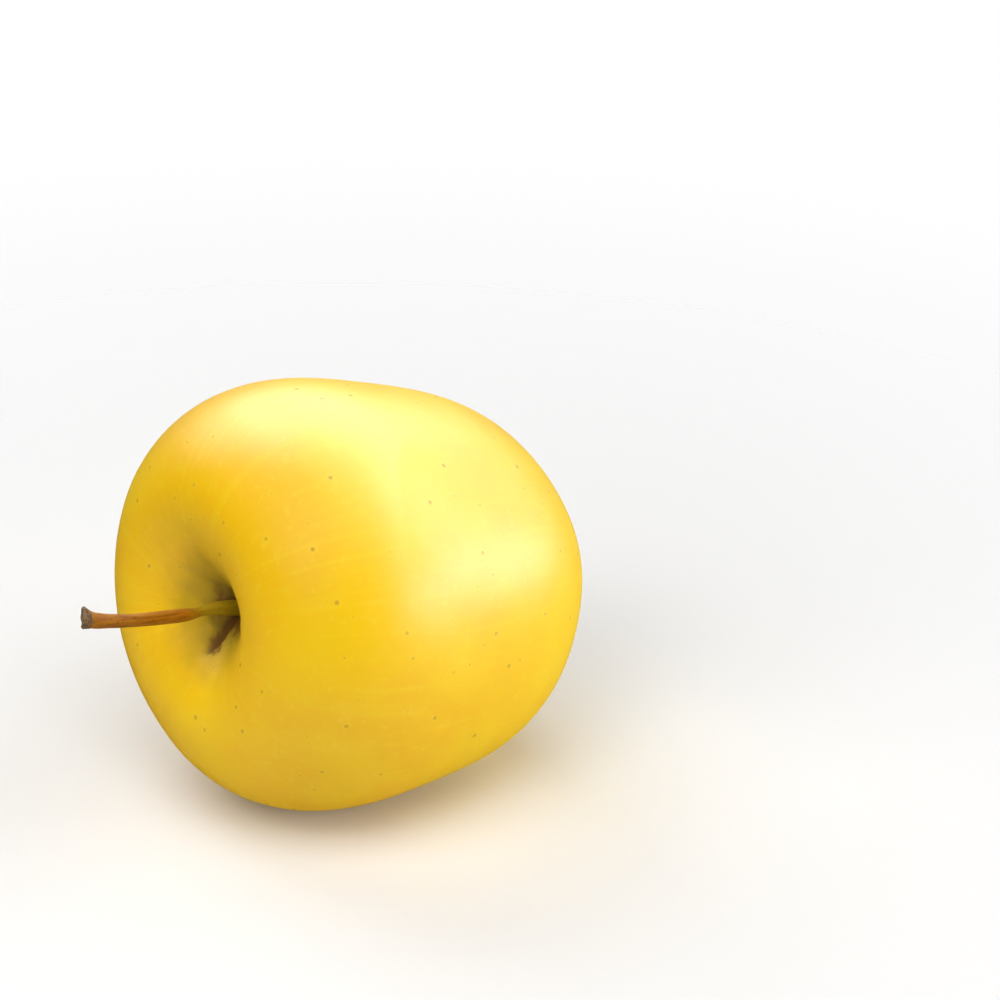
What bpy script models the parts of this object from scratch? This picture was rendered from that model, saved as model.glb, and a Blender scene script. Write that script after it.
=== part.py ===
"""A whole yellow apple lying on its side, with its woody stem and the dried sepals of its eye.

Metres, +Z up. The core axis lies in the XZ plane with the stem towards -X and tilted up, and the
origin is the middle of the small flat spot that the fruit rests on.
"""

from math import atan2, cos, exp, pi, radians, sin

import bmesh
import bpy
from mathutils import Matrix, Vector

# The fruit in its own axes: the core along Z, the stem end up, X the side that ends uppermost.
MEAN_RADIUS = 0.0395
ELONGATION = 0.030  # longer along the core than across it
CONICITY = -0.045  # broad at the stem end, narrowing towards the eye
SQUARENESS = -0.037  # full shoulders
SHOULDER_LEAN = 0.061  # one shoulder stands higher than the other
SHOULDER_TURN = radians(4)
RIB_HEIGHT = 0.016  # five low ribs that end as bumps round the eye
RIB_COUNT = 5
RIB_TURN = radians(12)

CAVITY_DEPTH = 0.0140  # where the stem sits
CAVITY_WIDTH = 0.0123
CAVITY_FLARE = 1.5
BASIN_DEPTH = 0.0080  # round the eye
BASIN_WIDTH = 0.0095
BASIN_FLARE = 2.0

CORE_TILT = radians(9)  # stem end up, as the fruit balances
FLAT_DEPTH = 0.0004  # how much the resting spot is flattened

# The stem: distance along the core, rise towards X, and radius.
STEM_BEVEL = 0.0010
STEM_ROUTE = (
    (0.0244, 0.0001, 0.00125),
    (0.0285, 0.0008, 0.00115),
    (0.0330, 0.0011, 0.00085),
    (0.0385, 0.0009, 0.00120),
    (0.0450, 0.0011, 0.00110),
    (0.0510, 0.0016, 0.00125),
    (0.0545, 0.0021, 0.00185),
    (0.0560, 0.0024, 0.00195),
)

SEPAL_COUNT = 5
SEPAL_REACH = 0.0046
SEPAL_HEIGHT = 0.0046
GAP = 0.0003

SKIN_SIDES = 60
SKIN_RINGS = 44
RING_CROWDING = 0.6  # rings stand closer together at the stem and the eye
EYE_SIDES = 40


def clear_scene():
    for thing in list(bpy.data.objects):
        bpy.data.objects.remove(thing)


def material(name, colour, roughness):
    finish = bpy.data.materials.new(name)
    finish.use_nodes = True
    shader = finish.node_tree.nodes["Principled BSDF"]
    shader.inputs["Base Color"].default_value = (*colour, 1.0)
    shader.inputs["Roughness"].default_value = roughness
    shader.inputs["Metallic"].default_value = 0.0
    return finish


def place(name, mesh, finish, parent):
    mesh.materials.append(finish)
    thing = bpy.data.objects.new(name, mesh)
    thing.parent = parent
    bpy.context.scene.collection.objects.link(thing)
    return thing


def reach(polar):
    """Distance of the skin from the fruit's middle, at an angle from the stem."""
    wave = ELONGATION * cos(2 * polar) + CONICITY * cos(3 * polar) + SQUARENESS * cos(4 * polar)
    return MEAN_RADIUS * (1 + wave)


def unevenness(polar, turn):
    """How much further the skin reaches on one side: the high shoulder and the five ribs."""
    stem_side = (1 + cos(polar)) / 2
    lean = SHOULDER_LEAN * sin(polar) * stem_side**2 * cos(turn - SHOULDER_TURN)
    rib = RIB_HEIGHT * sin(polar) ** 2 * (1 - stem_side) ** 3 * cos(RIB_COUNT * (turn - RIB_TURN))
    return 1 + lean + rib


def hollow(radius, polar):
    """How far the cavity or the basin brings the skin in along the core."""
    if polar < pi / 2:
        return -CAVITY_DEPTH * exp(-((radius / CAVITY_WIDTH) ** CAVITY_FLARE))
    return BASIN_DEPTH * exp(-((radius / BASIN_WIDTH) ** BASIN_FLARE))


def skin_point(polar, turn):
    distance = reach(polar) * unevenness(polar, turn)
    radius = distance * sin(polar)
    return Vector((radius * cos(turn), radius * sin(turn), distance * cos(polar) + hollow(radius, polar)))


def ring_angle(step):
    share = step / SKIN_RINGS
    return pi * (share - RING_CROWDING * sin(2 * pi * share) / (2 * pi))


def turned_skin():
    """The skin as a plain turned shape, then drawn out to its uneven one."""
    skin = bmesh.new()
    # At the poles sin(pi) isn't quite zero, so the end points are put on the axis by hand.
    profile = []
    for step in range(SKIN_RINGS + 1):
        polar = ring_angle(step)
        across = 0.0 if step in (0, SKIN_RINGS) else sin(polar)
        profile.append(skin.verts.new((across, 0, cos(polar))))
    edges = [skin.edges.new(pair) for pair in zip(profile, profile[1:])]
    bmesh.ops.spin(
        skin, geom=profile + edges, axis=(0, 0, 1), cent=(0, 0, 0), angle=2 * pi, steps=SKIN_SIDES,
        use_merge=True,
    )
    bmesh.ops.remove_doubles(skin, verts=skin.verts, dist=1e-5)
    for point in skin.verts:
        across = Vector((point.co.x, point.co.y)).length
        point.co = skin_point(atan2(across, point.co.z), atan2(point.co.y, point.co.x))
    bmesh.ops.recalc_face_normals(skin, faces=skin.faces)
    return skin


def flatten_resting_spot(skin, attitude):
    """Cuts the lowest part off and returns the middle of the flat face that it leaves."""
    down = attitude.inverted() @ Vector((0, 0, -1))
    lowest = max(point.co.dot(down) for point in skin.verts)
    cut = bmesh.ops.bisect_plane(
        skin, geom=skin.verts[:] + skin.edges[:] + skin.faces[:], dist=1e-6,
        plane_co=down * (lowest - FLAT_DEPTH), plane_no=down, clear_outer=True,
    )
    rim = [part for part in cut["geom_cut"] if isinstance(part, bmesh.types.BMEdge)]
    bmesh.ops.holes_fill(skin, edges=rim)
    corners = {corner for edge in rim for corner in edge.verts}
    low = [min(axis) for axis in zip(*((attitude @ corner.co) for corner in corners))]
    high = [max(axis) for axis in zip(*((attitude @ corner.co) for corner in corners))]
    return (Vector(low) + Vector(high)) / 2


def finish_mesh(shape, name):
    mesh = bpy.data.meshes.new(name)
    shape.to_mesh(mesh)
    shape.free()
    mesh.shade_smooth()
    return mesh


def make_fruit():
    """The flesh and skin, and the empty at the fruit's middle that carries every piece."""
    attitude = Matrix.Rotation(CORE_TILT - pi / 2, 3, "Y")
    skin = turned_skin()
    resting = flatten_resting_spot(skin, attitude)
    core = bpy.data.objects.new("core", None)
    core.rotation_euler = attitude.to_euler()
    core.location = -resting
    bpy.context.scene.collection.objects.link(core)
    yellow = material("apple_skin", (0.86, 0.52, 0.03), 0.35)
    body = place("apple_body", finish_mesh(skin, "apple_body"), yellow, core)
    body.data.set_sharp_from_angle(angle=radians(50))
    return core


def make_stem(core):
    """A woody stalk with a waist above the cavity floor and a flared end."""
    curve = bpy.data.curves.new("stem", "CURVE")
    curve.dimensions = "3D"
    curve.bevel_depth = STEM_BEVEL
    curve.bevel_resolution = 3
    curve.resolution_u = 3
    curve.use_fill_caps = True
    line = curve.splines.new("NURBS")
    line.points.add(len(STEM_ROUTE) - 1)
    line.order_u = 3
    line.use_endpoint_u = True
    for point, (along, rise, radius) in zip(line.points, STEM_ROUTE):
        point.co = (rise, 0, along, 1)
        point.radius = radius / STEM_BEVEL
    place("stem", curve, material("stem_wood", (0.33, 0.16, 0.04), 0.7), core)


def make_calyx(core):
    """The dried eye: a low button whose rim is drawn out into five upright sepals."""
    floor = skin_point(pi, 0).z - GAP
    # Each ring: share of the sepals' reach, height out of the basin, and how much it is starred.
    rings = (
        (0.30, 0.0, 0.0), (0.80, 0.28, 0.10), (0.95, 0.65, 0.22), (1.0, 1.0, 0.34),
        (0.72, 0.90, 0.30), (0.50, 0.50, 0.15),
    )
    eye = bmesh.new()
    bmesh.ops.create_circle(eye, segments=EYE_SIDES, radius=SEPAL_REACH, cap_ends=False)
    loop = eye.edges[:]
    shaped = []
    for number, (share, height, star) in enumerate(rings):
        if number:
            grown = bmesh.ops.extrude_edge_only(eye, edges=loop)["geom"]
            loop = [part for part in grown if isinstance(part, bmesh.types.BMEdge)]
        corners = {corner for edge in loop for corner in edge.verts}
        shaped.append((corners, share, height, star))
    ends = [edge for edge in eye.edges if edge.is_boundary]
    for corners, share, height, star in shaped:
        for corner in corners:
            turn = atan2(corner.co.y, corner.co.x)
            point_out = cos(SEPAL_COUNT * (turn - RIB_TURN))
            radius = SEPAL_REACH * share * (1 + star * point_out)
            rise = SEPAL_HEIGHT * height * (1 + 0.5 * star * point_out)
            corner.co = (radius * cos(turn), radius * sin(turn), floor - rise)
    bmesh.ops.holes_fill(eye, edges=ends)
    bmesh.ops.recalc_face_normals(eye, faces=eye.faces)
    place("calyx", finish_mesh(eye, "calyx"), material("calyx_dry", (0.12, 0.08, 0.04), 0.85), core)


def main():
    clear_scene()
    core = make_fruit()
    make_stem(core)
    make_calyx(core)


main()
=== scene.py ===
from math import atan2, cos, exp, hypot, pi, radians, sin

import bmesh
import bpy
from mathutils import Matrix, Vector, noise


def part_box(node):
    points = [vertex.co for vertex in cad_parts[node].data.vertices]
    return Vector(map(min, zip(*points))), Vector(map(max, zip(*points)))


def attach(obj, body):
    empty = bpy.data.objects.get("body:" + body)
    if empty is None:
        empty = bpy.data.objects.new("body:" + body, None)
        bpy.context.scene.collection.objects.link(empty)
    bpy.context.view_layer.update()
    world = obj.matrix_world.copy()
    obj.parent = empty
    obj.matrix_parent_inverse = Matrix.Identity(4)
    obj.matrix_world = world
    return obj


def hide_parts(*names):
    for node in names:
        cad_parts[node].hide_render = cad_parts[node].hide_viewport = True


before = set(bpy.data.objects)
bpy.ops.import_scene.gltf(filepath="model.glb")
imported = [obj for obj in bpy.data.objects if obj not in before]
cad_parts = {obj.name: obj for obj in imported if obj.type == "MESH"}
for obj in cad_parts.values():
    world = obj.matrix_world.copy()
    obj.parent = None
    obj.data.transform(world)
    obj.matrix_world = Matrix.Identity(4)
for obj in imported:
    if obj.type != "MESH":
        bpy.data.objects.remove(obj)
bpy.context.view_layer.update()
print("frame loaded:", ", ".join(sorted(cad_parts)))


# the fruit's own axes: the core along Z with the stem end up, X the side that ends uppermost

fruit = {
    "meanRadius": 0.0395,
    "elongation": 0.030,
    "conicity": -0.045,
    "squareness": -0.037,
    "shoulderLean": 0.061,
    "shoulderTurn": radians(4),
    "ribHeight": 0.016,
    "ribCount": 5,
    "ribTurn": radians(12),
    "cavityDepth": 0.0140,
    "cavityWidth": 0.0123,
    "cavityFlare": 1.5,
    "basinDepth": 0.0080,
    "basinWidth": 0.0095,
    "basinFlare": 2.0,
    "coreTilt": radians(9),
}


def reach(polar):
    wave = fruit["elongation"] * cos(2 * polar) + fruit["conicity"] * cos(3 * polar)
    return fruit["meanRadius"] * (1 + wave + fruit["squareness"] * cos(4 * polar))


def unevenness(polar, turn):
    stemSide = (1 + cos(polar)) / 2
    lean = fruit["shoulderLean"] * sin(polar) * stemSide**2 * cos(turn - fruit["shoulderTurn"])
    rib = fruit["ribHeight"] * sin(polar) ** 2 * (1 - stemSide) ** 3
    return 1 + lean + rib * cos(fruit["ribCount"] * (turn - fruit["ribTurn"]))


def hollow(radius, polar):
    if polar < pi / 2:
        return -fruit["cavityDepth"] * exp(-((radius / fruit["cavityWidth"]) ** fruit["cavityFlare"]))
    return fruit["basinDepth"] * exp(-((radius / fruit["basinWidth"]) ** fruit["basinFlare"]))


def skinPoint(polar, turn):
    distance = reach(polar) * unevenness(polar, turn)
    radius = distance * sin(polar)
    along = distance * cos(polar) + hollow(radius, polar)
    return Vector((radius * cos(turn), radius * sin(turn), along))


def findMiddle(attitude, steps=90):
    # the core's middle, so that the fruit's box lies on the CAD solid's box
    turned = []
    for ring in range(steps + 1):
        for side in range(steps):
            turned.append(attitude @ skinPoint(pi * ring / steps, 2 * pi * side / steps))
    low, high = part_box("apple_body")
    place = []
    for axis in (0, 1):
        values = [point[axis] for point in turned]
        place.append(((low[axis] - min(values)) + (high[axis] - max(values))) / 2)
    return Vector((*place, high.z - max(point.z for point in turned)))


attitude = Matrix.Rotation(fruit["coreTilt"] - pi / 2, 3, "Y")
middle = findMiddle(attitude)
toWorld = Matrix.Translation(middle) @ attitude.to_4x4()
print("core middle, mm:", [round(value * 1000, 2) for value in middle])


def towards(around, up):
    # the way out from the fruit, turned round from the front and then up
    return Vector((sin(around) * cos(up), -cos(around) * cos(up), sin(up)))


camera = {
    "azimuth": radians(-35.9),
    "elevation": radians(27),
    "distance": 0.75,
    "lens": 154.2,
    "sensor": 36,
    "panRight": radians(2.0),
    "tiltUp": radians(1.23),
}


def makeCamera():
    back = towards(camera["azimuth"], camera["elevation"])
    right = Vector((cos(camera["azimuth"]), sin(camera["azimuth"]), 0))
    aim = Matrix((right, back.cross(right), back)).transposed()
    aim = aim @ Matrix.Rotation(-camera["panRight"], 3, "Y") @ Matrix.Rotation(camera["tiltUp"], 3, "X")
    viewer = bpy.data.objects.new("viewer", bpy.data.cameras.new("viewer"))
    viewer.data.lens = camera["lens"]
    viewer.data.sensor_width = camera["sensor"]
    viewer.matrix_world = Matrix.Translation(middle + back * camera["distance"]) @ aim.to_4x4()
    bpy.context.scene.collection.objects.link(viewer)
    bpy.context.scene.camera = viewer


makeCamera()
print("camera placed")


# a socket that takes part in sums
class Link:
    def __init__(self, finish, socket):
        self.finish = finish
        self.socket = socket

    def __add__(self, other):
        return self.finish.math("ADD", self, other)

    def __sub__(self, other):
        return self.finish.math("SUBTRACT", self, other)

    def __rsub__(self, other):
        return self.finish.math("SUBTRACT", other, self)

    def __mul__(self, other):
        return self.finish.math("MULTIPLY", self, other)

    def __truediv__(self, other):
        return self.finish.math("DIVIDE", self, other)

    def __pow__(self, other):
        return self.finish.math("POWER", self, other)

    __radd__ = __add__
    __rmul__ = __mul__


class Finish:
    def __init__(self, name, plain):
        self.material = bpy.data.materials.new(name)
        self.material.use_nodes = True
        self.tree = self.material.node_tree
        self.shader = self.tree.nodes["Principled BSDF"]
        for socket, value in plain.items():
            self.shader.inputs[socket].default_value = value

    def node(self, kind, settings, sockets, output=0):
        made = self.tree.nodes.new(kind)
        for setting, value in settings.items():
            setattr(made, setting, value)
        for socket, value in sockets.items():
            self.give(made.inputs[socket], value)
        return Link(self, made.outputs[output])

    def give(self, socket, value):
        if isinstance(value, Link):
            self.tree.links.new(value.socket, socket)
        else:
            socket.default_value = value

    def feed(self, **links):
        for name, link in links.items():
            self.give(self.shader.inputs[name.replace("_", " ")], link)

    def math(self, operation, *values):
        return self.node("ShaderNodeMath", {"operation": operation}, dict(enumerate(values)))

    def mix(self, share, first, second, blend="MIX"):
        settings = {"data_type": "RGBA", "blend_type": blend, "clamp_factor": True}
        return self.node("ShaderNodeMix", settings, {0: share, 6: first, 7: second}, output=2)

    def fade(self, value, start, end):
        # 0 at start, 1 at end, smooth between them
        sockets = {"Value": value, "From Min": start, "From Max": end}
        return self.node("ShaderNodeMapRange", {"interpolation_type": "SMOOTHSTEP"}, sockets)

    def within(self, value, centre, halfWidth):
        # 1 at the centre, fading to 0 at either side
        return 1 - self.fade(self.math("ABSOLUTE", value - centre), 0, halfWidth)

    def objectAxes(self):
        return self.node("ShaderNodeTexCoord", {}, {}, output=3)

    def coreAxes(self):
        # Object coordinates turned to the fruit's own axes, in millimetres
        back = attitude.transposed()
        return self.node("ShaderNodeMapping", {"vector_type": "POINT"}, {
            "Vector": self.objectAxes(),
            "Location": -(back @ middle) * 1000,
            "Rotation": back.to_euler(),
            "Scale": (1000, 1000, 1000),
        })

    def parts(self, vector):
        split = self.node("ShaderNodeSeparateXYZ", {}, {"Vector": vector}).socket.node
        return [Link(self, output) for output in split.outputs]

    def join(self, x, y, z):
        return self.node("ShaderNodeCombineXYZ", {}, {0: x, 1: y, 2: z})

    def noise(self, vector, size, detail=2, roughness=0.5):
        # size is the width of one patch, in the vector's units
        sockets = {"Vector": vector, "Scale": 1 / size, "Detail": detail, "Roughness": roughness}
        return self.node("ShaderNodeTexNoise", {}, sockets)

    def bump(self, height, strength, distance):
        return self.node("ShaderNodeBump", {}, {"Height": height, "Strength": strength, "Distance": distance})


def shade(red, green, blue):
    # a colour as a paint chart gives it, 0 to 255, in the renderer's own scale
    def straight(value):
        value /= 255
        return value / 12.92 if value <= 0.04045 else ((value + 0.055) / 1.055) ** 2.4
    return (straight(red), straight(green), straight(blue), 1)


skinFinish = {
    "yellow": shade(239, 193, 3),
    "lemon": shade(240, 203, 18),
    "pale": shade(244, 206, 44),
    "amber": shade(236, 178, 2),
    # a dark olive: the cavity's own green with painted shade of the hollow mixed in
    "green": shade(142, 122, 2),
    "russet": shade(88, 44, 12),
    "dot": shade(196, 150, 30),
    "halo": shade(238, 202, 26),
    "roughness": 0.43,
    # patch sizes and reaches, in millimetres
    "driftSize": 22,
    "toneAndShadeLean": 0.18,  # how much more amber there is at the stem end and lemon at the eye end: partly the skin's own tone, partly painted light, with the eye end paler where the lamps' sheen falls and the stem end darker where it does not
    "streakSize": 1.1,
    "mottleSize": 1.7,
    "rustSize": 2.6,
    "poreSize": 0.55,
    "cavityGreenAndShade": (3, 14.5),
    "basinGreen": (3, 13),
    "footRust": (0.5, 9.5),
    "creaseMiddle": 6.0,
    "creaseReach": 5.5,
    "creaseSpread": 0.36,
    "creaseWander": 0.7,
    "dotSpacing": 3.5,
    "dotRadius": 0.44,
}


def makeSkinFinish():
    look = skinFinish
    skin = Finish("waxySkin", {
        "IOR": 1.45, "Specular IOR Level": 0.6,
        "Subsurface Weight": 0.12, "Subsurface Radius": (1.0, 0.6, 0.15), "Subsurface Scale": 0.003,
    })
    place = skin.coreAxes()
    x, y, z = skin.parts(place)
    radius = (x * x + y * y) ** 0.5
    # broad drifts of lemon and amber, with more amber towards the stem; the lean along the core is partly the
    # skin's own tone and partly painted light: a painted sheen at the eye end, where the lamps' gloss falls,
    # and painted shade at the stem end
    lean = skin.fade(z, -16, 14) * look["toneAndShadeLean"]
    drift = skin.noise(place, look["driftSize"], detail=2.5) + look["toneAndShadeLean"] / 2 - lean
    colour = skin.mix(skin.fade(drift, 0.47, 0.66) * 0.6, look["yellow"], look["lemon"])
    colour = skin.mix(skin.fade(drift, 0.49, 0.32) * 0.45, colour, look["amber"])
    # fine streaks that run from the stem to the eye
    streaks = skin.noise(skin.join(x / radius * 24, y / radius * 24, z * 0.05), look["streakSize"])
    colour = skin.mix(skin.fade(streaks, 0.5, 0.75) * 0.4, colour, look["lemon"])
    # mottling under the wax
    mottle = skin.noise(place, look["mottleSize"], detail=3, roughness=0.6)
    colour = skin.mix(skin.fade(mottle, 0.54, 0.72) * 0.4, colour, look["pale"])
    # green left in the stem cavity and in the basin, a dark olive that is partly the skin's own green and
    # partly painted shade in these hollows
    stemEnd = skin.fade(z, 10, 20)
    ragged = radius + (skin.noise(place, 5, detail=3) - 0.5) * 5
    cavity = (1 - skin.fade(ragged, *look["cavityGreenAndShade"])) * stemEnd
    basin = (1 - skin.fade(ragged, *look["basinGreen"])) * (1 - skin.fade(z, -30, -20))
    colour = skin.mix(cavity * 0.85, colour, look["green"])
    colour = skin.mix(basin * 0.6, colour, look["green"])
    # russet at the foot of the stem, and a dark brown streak along the fold that runs out of the cavity
    rust = skin.noise(place, look["rustSize"], detail=4, roughness=0.6)
    aside = skin.math("ARCTAN2", y, -1 * x) + skinShape["creaseTurn"] - pi
    crease = skin.within(aside + (rust - 0.5) * look["creaseWander"], 0, look["creaseSpread"])
    crease = crease * skin.within(radius, look["creaseMiddle"], look["creaseReach"])
    foot = 1 - skin.fade(radius, *look["footRust"])
    russet = skin.fade(rust * 0.8 + foot * 0.8 + crease * 0.65, 0.62, 1.2) * stemEnd
    colour = skin.mix(russet * 0.88, colour, look["russet"])
    # the skin's small corky dots, each in a pale halo
    cells = {"Vector": place, "Scale": 1 / look["dotSpacing"], "Randomness": 1}
    apart = skin.node("ShaderNodeTexVoronoi", {"feature": "F1"}, cells) * look["dotSpacing"]
    cell = skin.parts(skin.node("ShaderNodeTexVoronoi", {"feature": "F1"}, cells, output=1))[0]
    wide = look["dotRadius"] * (0.55 + cell * 0.75)
    dots = 1 - skin.fade(apart / wide, 0.55, 1)
    halos = 1 - skin.fade(apart / wide, 0.9, 2.4)
    colour = skin.mix(halos * 0.35 * (1 - cavity) * (1 - basin), colour, look["halo"])
    colour = skin.mix(dots * (0.35 + cell * 0.6), colour, look["dot"])
    skin.feed(Base_Color=colour)
    dull = look["roughness"] + (mottle - 0.5) * 0.12
    skin.feed(Roughness=dull + cavity * 0.15 + russet * 0.2 + dots * 0.25)
    pores = skin.noise(place, look["poreSize"], detail=1)
    relief = pores * 0.25 + mottle * 0.4 + dots * 0.6 + russet * rust
    skin.feed(Normal=skin.bump(relief, 0.25, 0.00012))
    return skin.material


stemFinish = {
    "bark": shade(178, 114, 16),
    "dark": shade(132, 72, 8),
    "green": shade(160, 138, 20),
    "cork": shade(116, 102, 76),
    "char": shade(62, 54, 44),
    # distances along the core, in millimetres
    "footEnds": (31, 36),
    "tipStarts": (54.6, 55.6),
}


def makeStemFinish():
    look = stemFinish
    stem = Finish("stemBark", {"Specular IOR Level": 0.2})
    place = stem.coreAxes()
    x, y, z = stem.parts(place)
    grain = stem.noise(stem.join(x * 2.2, y * 2.2, z * 0.16), 0.8, detail=4, roughness=0.65)
    specks = stem.noise(place, 0.5, detail=3)
    colour = stem.mix(stem.fade(grain, 0.25, 0.62), look["dark"], look["bark"])
    foot = 1 - stem.fade(z + (grain - 0.5) * 4, *look["footEnds"])
    colour = stem.mix(foot * 0.85, colour, look["green"])
    tip = stem.fade(z + (specks - 0.5) * 2, *look["tipStarts"])
    cork = stem.mix(stem.fade(specks, 0.42, 0.62) * 0.8, look["cork"], look["char"])
    colour = stem.mix(tip * 0.85, colour, cork)
    colour = stem.mix(stem.fade(specks, 0.56, 0.7) * 0.45, colour, look["dark"], blend="MULTIPLY")
    stem.feed(Base_Color=colour)
    stem.feed(Roughness=0.55 + tip * 0.3 + (grain - 0.5) * 0.2)
    stem.feed(Normal=stem.bump(grain + specks * 0.5, 0.6, 0.00018))
    return stem.material


sepalFinish = {
    "brown": shade(134, 98, 56),
    "dark": shade(82, 58, 34),
    "wool": shade(182, 164, 120),
}


def makeSepalFinish():
    look = sepalFinish
    sepal = Finish("drySepal", {"Specular IOR Level": 0.2})
    place = sepal.coreAxes()
    fibre = sepal.noise(place, 0.5, detail=4, roughness=0.7)
    patch = sepal.noise(place, 1.8, detail=2)
    colour = sepal.mix(sepal.fade(patch, 0.4, 0.62), look["dark"], look["brown"])
    colour = sepal.mix(sepal.fade(fibre, 0.52, 0.72) * 0.7, colour, look["wool"])
    sepal.feed(Base_Color=colour)
    sepal.feed(Roughness=0.8 + (fibre - 0.5) * 0.2)
    sepal.feed(Normal=sepal.bump(fibre, 0.6, 0.0002))
    return sepal.material


def settle(name, shape, material, node):
    # the shape comes already turned to the frame's axes and leaves as a smooth mesh in place of the CAD part
    bmesh.ops.recalc_face_normals(shape, faces=shape.faces)
    mesh = bpy.data.meshes.new(name)
    shape.to_mesh(mesh)
    shape.free()
    mesh.shade_smooth()
    mesh.materials.append(material)
    piece = bpy.data.objects.new(name, mesh)
    bpy.context.scene.collection.objects.link(piece)
    finer = piece.modifiers.new("finer", "SUBSURF")
    finer.levels = finer.render_levels = 1
    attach(piece, "root")
    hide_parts(node)
    print("made", name, "with", len(mesh.polygons), "faces")


skinShape = {
    "sides": 144,
    "rings": 138,
    "crowding": 0.6,
    "dentSize": 0.024,
    "dentDepth": 0.00025,
    "fineDents": 0.35,
    "foldCount": 9,
    "foldDepth": 0.00016,
    "foldWander": 5,
    "foldReach": 0.013,
    "creaseTurn": radians(170),
    "creaseWidth": radians(15),
    "creaseDepth": 0.0008,
    "creaseFrom": 0.0015,
    "creaseTo": 0.0095,
}


def bulge(value, low, high):
    # 0 outside low to high and 1 in the middle
    share = min(max((value - low) / (high - low), 0), 1)
    return sin(pi * share) ** 2


def creased(point):
    look = skinShape
    radius, turn = hypot(point.x, point.y), atan2(point.y, point.x)
    if point.z > 0:
        wave = cos(look["foldCount"] * turn + look["foldWander"] * noise.noise(point * 90))
        point.z += look["foldDepth"] * wave * bulge(radius, 0, look["foldReach"])
        aside = (turn - look["creaseTurn"] + pi) % (2 * pi) - pi
        groove = exp(-((aside / look["creaseWidth"]) ** 2))
        point.z -= look["creaseDepth"] * groove * bulge(radius, look["creaseFrom"], look["creaseTo"])
    spot = point / look["dentSize"]
    dent = noise.noise(spot) + look["fineDents"] * noise.noise(spot * 2.7)
    return point * (1 + dent * look["dentDepth"] / max(point.length, 0.02))


def makeSkin(material):
    look = skinShape
    skin = bmesh.new()
    profile = []
    for step in range(look["rings"] + 1):
        share = step / look["rings"]
        polar = pi * (share - look["crowding"] * sin(2 * pi * share) / (2 * pi))
        across = sin(polar) if 0 < step < look["rings"] else 0
        profile.append(skin.verts.new((across, 0, cos(polar))))
    edges = [skin.edges.new(pair) for pair in zip(profile, profile[1:])]
    bmesh.ops.spin(
        skin, geom=profile + edges, axis=(0, 0, 1), cent=(0, 0, 0), angle=2 * pi,
        steps=look["sides"], use_merge=True,
    )
    bmesh.ops.remove_doubles(skin, verts=skin.verts, dist=1e-6)
    for corner in skin.verts:
        polar = atan2(hypot(corner.co.x, corner.co.y), corner.co.z)
        corner.co = toWorld @ creased(skinPoint(polar, atan2(corner.co.y, corner.co.x)))
        corner.co.z = max(corner.co.z, 0)  # the flat spot that it rests on
    settle("appleSkin", skin, material, "apple_body")


stemShape = {
    "sides": 20,
    "rings": 56,
    "ridge": 0.06,
    "bumpiness": 0.10,
    "endBumpiness": 0.16,
    "endFrom": 0.86,  # the share of the length where the flared end begins
    "endSwell": 0.25,  # the end swells towards the upper side
    "endSlant": 0.6,  # the end is cut slantwise
    "endTurn": radians(153),
    "endRagged": 0.0004,
    # distance along the core, rise, and radius
    "route": (
        (0.0226, -0.0001, 0.00185),
        (0.0243, 0.0003, 0.00138),
        (0.0285, 0.0008, 0.00118),
        (0.0321, 0.0006, 0.00080),
        (0.0342, 0.0005, 0.00106),
        (0.0385, 0.0006, 0.00120),
        (0.0450, 0.0009, 0.00112),
        (0.0505, 0.0015, 0.00122),
        (0.0540, 0.0021, 0.00142),
        (0.0556, 0.0024, 0.00178),
    ),
    # the rings that close the corky end: share of the radius, and how far past the end
    "cap": ((1.03, 0.0002), (0.94, 0.0006), (0.72, 0.0007), (0.38, 0.0004), (0.12, 0.0003)),
}


def along(route, share):
    # a smooth curve through the route's points
    spot = share * (len(route) - 1)
    start = min(int(spot), len(route) - 2)
    t = spot - start
    a, b, c, d = (Vector(route[min(max(start + k, 0), len(route) - 1)]) for k in (-1, 0, 1, 2))
    return 0.5 * (2 * b + (c - a) * t + (2 * a - 5 * b + 4 * c - d) * t**2 + (3 * b - a - 3 * c + d) * t**3)


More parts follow.
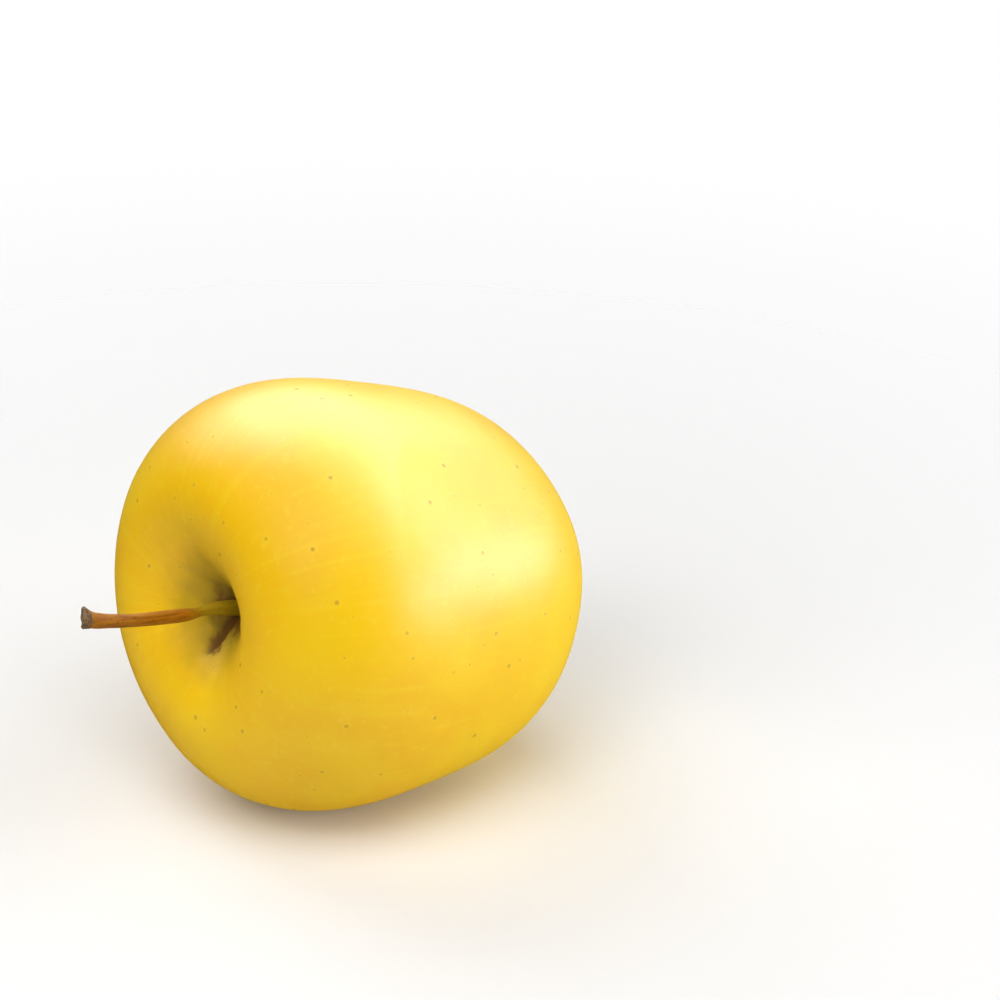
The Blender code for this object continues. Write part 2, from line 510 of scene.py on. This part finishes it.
def makeStem(material):
    look = stemShape
    stem = bmesh.new()
    bmesh.ops.create_circle(stem, segments=look["sides"], radius=1, cap_ends=False)
    loop = stem.edges[:]
    rings = []
    steps = [(step / look["rings"], 1, 0) for step in range(look["rings"] + 1)]
    steps += [(1, swell, push) for swell, push in look["cap"]]
    for number, (share, swell, push) in enumerate(steps):
        if number:
            grown = bmesh.ops.extrude_edge_only(stem, edges=loop)["geom"]
            loop = [part for part in grown if isinstance(part, bmesh.types.BMEdge)]
        rings.append(({corner for edge in loop for corner in edge.verts}, share, swell, push))
    for corners, share, swell, push in rings:
        distance, rise, girth = along(look["route"], share)
        front = min(share + 0.01, 1)
        ahead = along(look["route"], front) - along(look["route"], front - 0.02)
        heading = Vector((ahead.y, 0, ahead.x)).normalized()
        sideways = Vector((0, 1, 0)).cross(heading).normalized()
        upwards = heading.cross(sideways)
        centre = Vector((rise, 0, distance)) + heading * push
        tip = max(0, (share - look["endFrom"]) / (1 - look["endFrom"]))
        for corner in corners:
            turn = atan2(corner.co.y, corner.co.x)
            rough = noise.noise(Vector((cos(turn), sin(turn), share * 9)) * 1.6)
            ridges = look["ridge"] * (cos(3 * turn + share * 4) + 0.6 * cos(5 * turn - share * 7))
            bumps = rough * (look["bumpiness"] + look["endBumpiness"] * tip)
            radius = girth * swell * (1 + ridges * (1 - tip) + bumps)
            radius *= 1 + look["endSwell"] * tip * cos(turn)
            corner.co = centre + (sideways * cos(turn) + upwards * sin(turn)) * radius
            slant = look["endSlant"] * tip * sin(turn + look["endTurn"])
            corner.co += heading * (slant * radius + look["endRagged"] * tip * rough)
    bmesh.ops.holes_fill(stem, edges=[edge for edge in stem.edges if edge.is_boundary])
    bmesh.ops.transform(stem, matrix=toWorld, verts=stem.verts)
    settle("appleStem", stem, material, "stem")


# the dried sepals and flower stubs in the basin
eyeShape = {
    "sepals": 5,
    "length": 0.0062,
    "width": 0.0044,
    "thickness": 0.00026,
    "footRadius": 0.0021,
    "unevenness": 0.25,  # between one sepal and the next
    "curl": (0.5, 0.45),  # the mean, and the spread about it
    "raggedness": 0.25,
    "hollow": 0.00066,
    "roll": 0.0010,  # the margins dry inwards
    "wrinkle": 0.00045,
    "sway": 0.0012,
    "stubs": 16,
    "stubSides": 7,
    "stubLength": 0.0030,
    "stubRadius": 0.00022,
    "stubFlare": 1.5,
    "stubTurn": pi * (3 - 5**0.5),  # a golden angle from each stub to the next
    "cupRadius": 0.00255,
    "cupFlatness": 0.45,
    "cupRoughness": 0.05,
}


def makeSepal(eye, number, floor):
    look = eyeShape
    habit = [noise.noise(Vector((number * 3.1 + 0.4, 1.3, salt))) for salt in (0.2, 1.7, 3.9)]
    turn = fruit["ribTurn"] + 2 * pi * (number + 0.5) / look["sepals"] + look["unevenness"] * habit[0]
    length = look["length"] * (1 + look["unevenness"] * habit[1])
    curl = look["curl"][0] + look["curl"][1] * habit[2]
    leaf = bmesh.ops.create_grid(eye, x_segments=8, y_segments=16, size=0.5)["verts"]
    for corner in leaf:
        across, up = corner.co.x * 2, corner.co.y + 0.5
        ragged = 1 + look["raggedness"] * noise.noise(Vector((up * 7, across + number * 4, 0.7)))
        taper = (1 - up**1.6) * (0.75 + 0.6 * up * (1 - up))
        breadth = look["width"] / 2 * taper * ragged + 0.0001
        out = look["footRadius"] + length * (0.10 * up + curl * up**3 * 0.55)
        out -= look["hollow"] * sin(pi * up)
        lift = length * (up - 0.28 * curl * up**3) * 0.78
        rolled = look["roll"] * across**2 * (1 - up * 0.6)
        wrinkle = look["wrinkle"] * noise.noise(Vector((across * 2.5 + number * 5, up * 5, number)))
        aside = look["sway"] * habit[1] * up**2
        local = Vector((out - rolled + wrinkle, across * breadth + aside, floor - lift))
        corner.co = Matrix.Rotation(turn, 3, "Z") @ local
    faces = list(dict.fromkeys(face for corner in leaf for face in corner.link_faces))
    eye.normal_update()  # the wall grows along the bent leaf's own normals
    bmesh.ops.solidify(eye, geom=faces, thickness=look["thickness"])


def makeStub(eye, number, floor):
    look = eyeShape
    turn = number * look["stubTurn"]
    spread = 0.0003 + 0.0014 * (number / look["stubs"]) ** 0.5
    tall = look["stubLength"] * (0.65 + 0.35 * noise.noise(Vector((number * 1.7, 0, 0))))
    stub = bmesh.ops.create_cone(
        eye, segments=look["stubSides"], radius1=look["stubRadius"],
        radius2=look["stubRadius"] * look["stubFlare"], depth=tall, cap_ends=True,
    )["verts"]
    lean = Matrix.Rotation(0.35 * noise.noise(Vector((number, 5, 2))) + 0.25, 4, "Y")
    spot = Matrix.Rotation(turn, 4, "Z") @ Matrix.Translation((spread, 0, floor - tall / 2)) @ lean
    bmesh.ops.transform(eye, matrix=spot, verts=stub)


def makeEye(material):
    look = eyeShape
    floor = skinPoint(pi, 0).z
    eye = bmesh.new()
    cup = bmesh.ops.create_uvsphere(eye, u_segments=24, v_segments=12, radius=look["cupRadius"])["verts"]
    for corner in cup:
        corner.co.z = corner.co.z * look["cupFlatness"] + floor - 0.0002
        corner.co *= 1 + look["cupRoughness"] * noise.noise(corner.co * 1500)
    for number in range(look["sepals"]):
        makeSepal(eye, number, floor + 0.0003)
    for number in range(look["stubs"]):
        makeStub(eye, number, floor)
    bmesh.ops.transform(eye, matrix=toWorld, verts=eye.verts)
    settle("appleEye", eye, material, "calyx")


# a plain pale floor and soft lights
room = {
    "floorReach": 0.5,
    "floorClear": (0.05, 0.32),  # the floor fades into the white between these two distances
    "floorColour": (0.8, 0.8, 0.8, 1),
    "floorDepth": 0.0002,
    "ambient": 0.03,
    "lightDistance": 0.9,
    # degrees round from the front, degrees up, width, height and watts;
    # a fill only lights the colours, and a sheen only shows as gloss
    "lights": {
        "lowSideFill": (50, 8, 0.9, 0.24, 7.5),
        "sideFill": (69, 33, 1.0, 0.65, 1.2),
        "leftFill": (284, 34, 0.8, 0.6, 4.4),
        "frontFill": (-36, 60, 0.8, 0.5, 5.0),
        "backFill": (185, 44, 0.6, 0.8, 3.6),
        "sideSheen": (69, 33, 1.0, 0.65, 17.2),
        "lowSideSheen": (50, 8, 0.9, 0.24, 8.5),
        "backSheen": (141, 44, 1.0, 0.75, 15.4),
        "backTopSheen": (190, 44, 0.5, 0.8, 4.6),
        "topSheen": (100, 70, 1.0, 0.7, 4.3),
    },
}


def makeFloor():
    floor = bmesh.new()
    bmesh.ops.create_circle(floor, segments=64, radius=room["floorReach"], cap_ends=True)
    bmesh.ops.translate(floor, vec=(0, 0, -room["floorDepth"]), verts=floor.verts)
    mesh = bpy.data.meshes.new("floor")
    floor.to_mesh(mesh)
    floor.free()
    plain = {"Roughness": 0.9, "Specular IOR Level": 0.1, "Base Color": room["floorColour"]}
    paint = Finish("palePaper", plain)
    x, y = paint.parts(paint.objectAxes())[:2]
    paint.feed(Alpha=1 - paint.fade((x * x + y * y) ** 0.5, *room["floorClear"]))
    mesh.materials.append(paint.material)
    thing = bpy.data.objects.new("floor", mesh)
    thing.visible_glossy = False  # keeps the paper's glare out of the wax
    bpy.context.scene.collection.objects.link(thing)


def makeLights():
    for name, (around, height, wide, tall, watts) in room["lights"].items():
        out = towards(radians(around), radians(height))
        lamp = bpy.data.lights.new(name, "AREA")
        lamp.shape, lamp.size, lamp.size_y, lamp.energy = "RECTANGLE", wide, tall, watts
        thing = bpy.data.objects.new(name, lamp)
        thing.location = middle + out * room["lightDistance"]
        thing.rotation_euler = out.to_track_quat("Z", "Y").to_euler()
        thing.visible_camera = False
        thing.visible_glossy = name.endswith("Sheen")
        thing.visible_diffuse = name.endswith("Fill")
        bpy.context.scene.collection.objects.link(thing)
    sky = bpy.data.worlds.new("sky")
    sky.use_nodes = True
    nodes, links = sky.node_tree.nodes, sky.node_tree.links
    path = nodes.new("ShaderNodeLightPath")
    level = nodes.new("ShaderNodeMapRange")
    level.inputs["To Min"].default_value = room["ambient"]
    level.inputs["To Max"].default_value = 1.0
    links.new(path.outputs["Is Camera Ray"], level.inputs["Value"])
    links.new(level.outputs["Result"], nodes["Background"].inputs["Strength"])
    nodes["Background"].inputs["Color"].default_value = (1, 1, 1, 1)
    bpy.context.scene.world = sky
    bpy.context.scene.view_settings.view_transform = "Standard"


makeFloor()
makeLights()
print("floor and", len(room["lights"]), "lights placed")
makeSkin(makeSkinFinish())
makeStem(makeStemFinish())
makeEye(makeSepalFinish())
